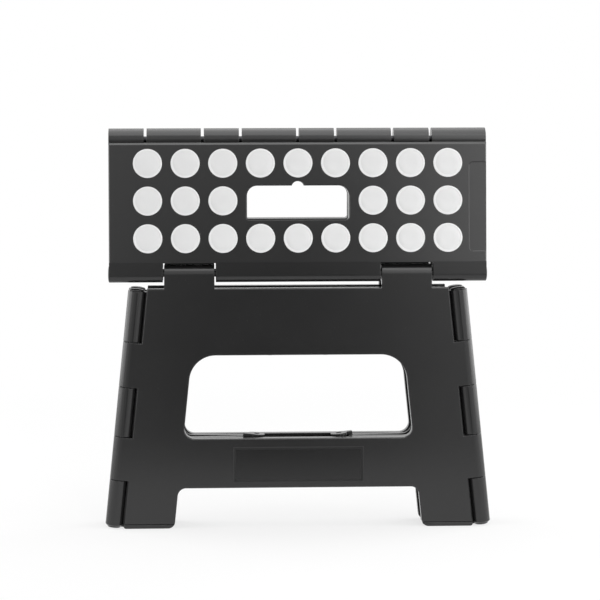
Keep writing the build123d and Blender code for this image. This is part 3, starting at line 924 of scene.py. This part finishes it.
class STOOL_OT_stage(bpy.types.Operator):
    """Make the floor, the dark cards, the white surroundings, the lamps and the camera"""

    bl_idname = "stool.stage"
    bl_label = "Studio"

    def execute(self, context):
        settings = context.scene.stool_studio
        context.scene.view_settings.view_transform = "Standard"
        self.make_floor(settings)
        self.make_cards()
        self.make_surroundings(context.scene, settings)
        self.make_lamps(context.scene)
        self.make_camera(context.scene, settings)
        return {"FINISHED"}

    def make_floor(self, settings):
        """A wide pale floor that keeps the stool's soft shadow.

        Reflections see it white. The camera sees it partly white near the stool, white far away."""
        reach, front = 12.0, -0.32
        near, far, near_share = 0.35, 0.9, 0.70
        corners = [(-reach, front, 0), (reach, front, 0), (reach, reach, 0), (-reach, reach, 0)]
        mesh = bpy.data.meshes.new("floor")
        mesh.from_pydata(corners, [], [(0, 1, 2, 3)])
        floor = bpy.data.objects.new("floor", mesh)
        bpy.context.scene.collection.objects.link(floor)
        finish, tree = new_finish("floor_paint")
        place = tree.place()
        away = tree.node("ShaderNodeVectorMath", {"operation": "LENGTH"}, {0: place}, "Value")
        mirrored = (tree.ray("Glossy") + tree.ray("Transmission")).clamped()
        seen = tree.ray("Camera") * (near_share + (1 - near_share) * away.step(near, far))
        share = (mirrored + seen).clamped()
        paint = tree.node("ShaderNodeBsdfDiffuse", None, {"Color": opaque(settings.floor_colour)})
        shaders = {0: share, 1: paint, 2: tree.glow(WHITE)}
        tree.close(tree.node("ShaderNodeMixShader", None, shaders))
        mesh.materials.append(finish)

    def make_cards(self):
        """Upright dark cards in front of the stool, seen only in its reflections."""
        front, low = -1.85, -0.8
        # Name, left edge, right edge, top and grey.
        cards = (
            ("flag", -0.17, 0.275, 0.46, 0.0),
            ("left_card", -1.35, -0.17, 0.20, 0.5),
            ("right_card", 0.275, 1.35, 0.10, 0.68),
        )
        for name, left, right, high, grey in cards:
            mesh = bpy.data.meshes.new(name)
            sides = (left, low), (left, high), (right, high), (right, low)
            mesh.from_pydata([(x, front, z) for x, z in sides], [], [(0, 1, 2, 3)])
            card = bpy.data.objects.new(name, mesh)
            bpy.context.scene.collection.objects.link(card)
            card.visible_camera = False
            card.visible_diffuse = False
            card.visible_shadow = False
            finish, tree = new_finish(name)
            tree.close(tree.glow(opaque(WHITE[:3], grey)))
            mesh.materials.append(finish)

    def make_surroundings(self, scene, settings):
        """White to the camera and in reflections, and an even fill light on everything."""
        world = bpy.data.worlds.new("studio")
        world.use_nodes = True
        scene.world = world
        tree = Tree(world.node_tree)
        seen = (tree.ray("Camera") + tree.ray("Glossy") + tree.ray("Transmission")).clamped()
        strength = settings.fill + (1.0 - settings.fill) * seen
        light = tree.node("ShaderNodeBackground", None, {"Color": WHITE, "Strength": strength})
        tree.close(light, "World")

    def make_lamps(self, scene):
        """Soft boxes aimed at the stool's middle."""
        target = Vector((0, 0, 0.17))
        # Name, place, width, height and power, then whether it lights matt surfaces, and whether
        # glossy ones show it.
        lamps = (
            ("left_box", (-1.1, 0.15, 0.6), 1.6, 1.2, 13.3, True, True),
            ("right_box", (1.1, 0.10, 0.6), 1.6, 1.2, 15.1, True, True),
            ("front_box", (0.58, -1.85, 1.05), 0.52, 2.0, 6.6, True, True),
            ("top_box", (0.0, 0.0, 1.5), 0.9, 2.4, 13.6, False, True),
            ("wash", (0.75, -0.9, 0.30), 0.6, 0.6, 2.4, True, False),
        )
        for name, place, width, height, power, bathes, shines in lamps:
            lamp = bpy.data.lights.new(name, "AREA")
            lamp.shape = "RECTANGLE"
            lamp.size = width
            lamp.size_y = height
            lamp.energy = power
            holder = bpy.data.objects.new(name, lamp)
            holder.location = place
            holder.rotation_euler = (target - Vector(place)).to_track_quat("-Z", "Y").to_euler()
            holder.visible_diffuse = bathes
            holder.visible_glossy = shines
            scene.collection.objects.link(holder)

    def make_camera(self, scene, settings):
        """Camera in front, a little above and aside, shifted so that the stool stays square."""
        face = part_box("front_panel")[0][1]
        # The lens shift, as a share of the view's width, and the view's middle on the panel.
        shift = Vector((0.04, -0.08))
        middle = Vector((0.0013863, face, 0.1920012))
        aim = middle - settings.view_width * Vector((shift.x, 0, shift.y))
        place = Vector((settings.offset, face - settings.distance, settings.height))
        lens = bpy.data.cameras.new("camera")
        lens.sensor_width = 36.0
        lens.lens = lens.sensor_width * (aim - place).length / settings.view_width
        lens.shift_x, lens.shift_y = shift
        lens.clip_start = 0.05
        lens.clip_end = 60
        camera = bpy.data.objects.new("camera", lens)
        camera.location = place
        turn = (aim - place).to_track_quat("-Z", "Y").to_matrix()
        roll = Matrix.Rotation(-settings.roll, 3, "Z")
        camera.rotation_euler = (turn @ roll).to_euler()
        scene.collection.objects.link(camera)
        scene.camera = camera


class STOOL_PT_sidebar(bpy.types.Panel):
    """Buttons and settings of the step stool"""

    bl_idname = "STOOL_PT_sidebar"
    bl_label = "Step Stool"
    bl_space_type = "VIEW_3D"
    bl_region_type = "UI"
    bl_category = "Step Stool"

    def draw(self, context):
        layout = self.layout
        for operator in OPERATORS:
            layout.operator(operator.bl_idname)
        for setting in SETTINGS:
            group = getattr(context.scene, setting)
            for name in group.bl_rna.properties.keys():
                if name not in ("rna_type", "name"):
                    layout.prop(group, name)


OPERATORS = (
    STOOL_OT_mouldings,
    STOOL_OT_foot_strips,
    STOOL_OT_grip_pads,
    STOOL_OT_hinge_pins,
    STOOL_OT_stage,
)
SETTINGS = {
    "stool_plastic": PlasticSettings,
    "stool_pads": GripPadSettings,
    "stool_feet": FootSettings,
    "stool_pins": PinSettings,
    "stool_studio": StudioSettings,
}
CLASSES = (*SETTINGS.values(), *OPERATORS, STOOL_PT_sidebar)


def register():
    for each in CLASSES:
        bpy.utils.register_class(each)
    for name, group in SETTINGS.items():
        setattr(bpy.types.Scene, name, bpy.props.PointerProperty(type=group))


def unregister():
    for name in SETTINGS:
        delattr(bpy.types.Scene, name)
    for each in reversed(CLASSES):
        bpy.utils.unregister_class(each)


def main():
    register()
    bpy.ops.stool.mouldings()
    bpy.ops.stool.foot_strips()
    bpy.ops.stool.grip_pads()
    bpy.ops.stool.hinge_pins()
    bpy.ops.stool.stage()


if __name__ == "__main__":
    main()
